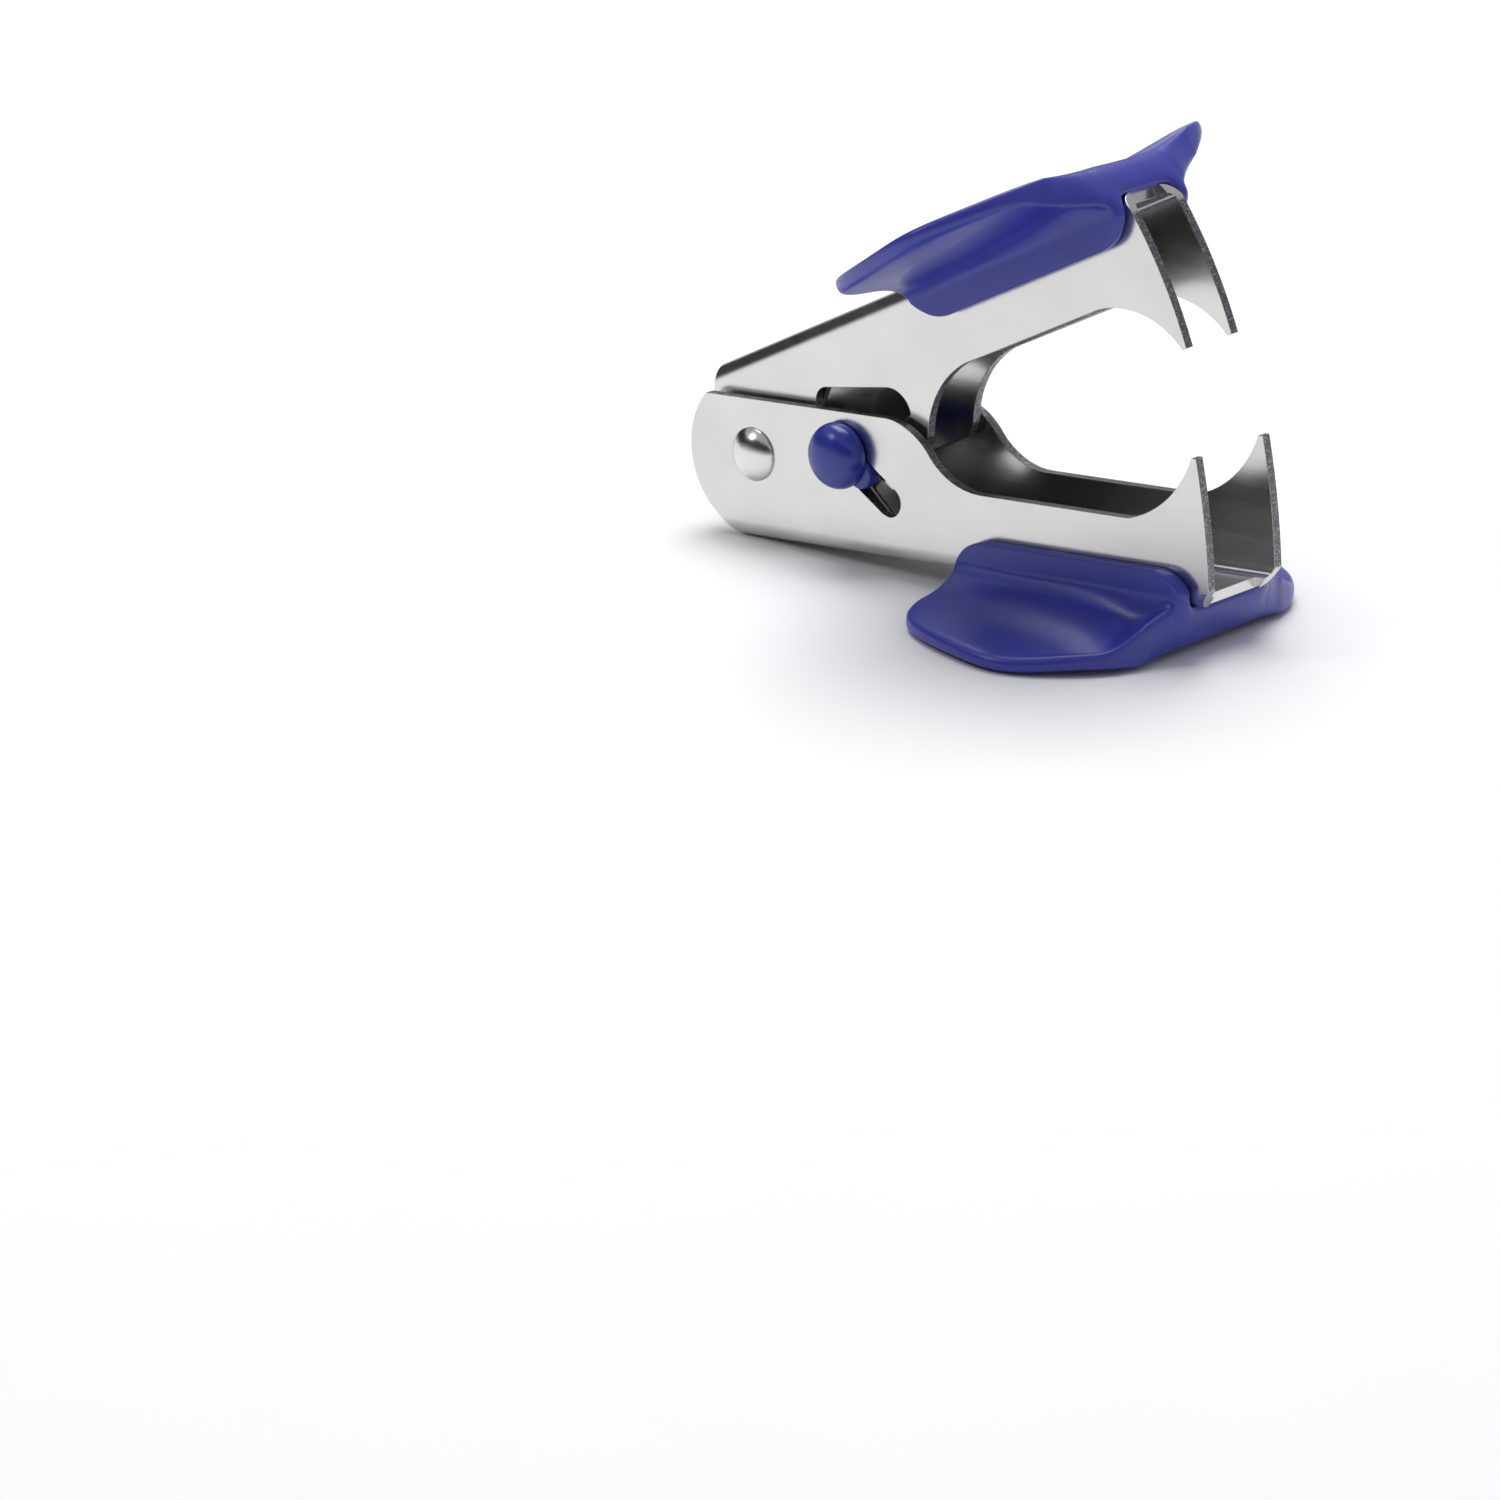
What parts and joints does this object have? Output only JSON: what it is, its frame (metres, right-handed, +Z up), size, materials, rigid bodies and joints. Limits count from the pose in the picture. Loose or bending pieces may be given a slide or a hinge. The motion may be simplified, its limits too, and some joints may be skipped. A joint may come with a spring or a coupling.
{
  "type": "staple remover",
  "caption": "Jaw-type staple remover: two hinged U-section steel jaws with curved teeth, dished finger grips, a spring on the pivot rivet and a sliding lock knob.",
  "frame": {"origin": "middle of the bounding box footprint on the surface the tool stands on", "axes": "+X from the pivot rivet towards the teeth, +Y across the jaws along the rivet, +Z up"},
  "size_m": [0.0588, 0.038, 0.0412],
  "materials": {
    "plated_steel": "bright nickel plate over pressed sheet steel, sheared edges",
    "rivet_steel": "bright plated",
    "spring_steel": "drawn spring wire",
    "grip_plastic": "royal blue, satin to semi-gloss moulding",
    "knob_plastic": "royal blue, glossy"
  },
  "bodies": {
    "lower": {"lower_jaw": "plated_steel", "lower_grip": "grip_plastic", "pivot_rivet": "rivet_steel", "torsion_spring": "spring_steel"},
    "upper": {"upper_jaw": "plated_steel", "upper_grip": "grip_plastic"},
    "lock": {"lock_knob": "knob_plastic", "lock_pin": "rivet_steel"}
  },
  "joints": [
    {"name": "jaw_hinge", "type": "hinge", "parent": "lower", "child": "upper", "pos_m": [-0.02183, 0, 0.0081], "axis": [0, 1, 0], "range_deg": [0, 20], "stiffness_Nm_per_rad": 0.25, "springref_deg": -28.65, "deforming": ["torsion_spring"]},
    {"name": "lock_slide", "type": "slide", "parent": "lower", "child": "lock", "axis": [0.858, 0, -0.5137], "range_m": [0, 0.0036]}
  ]
}
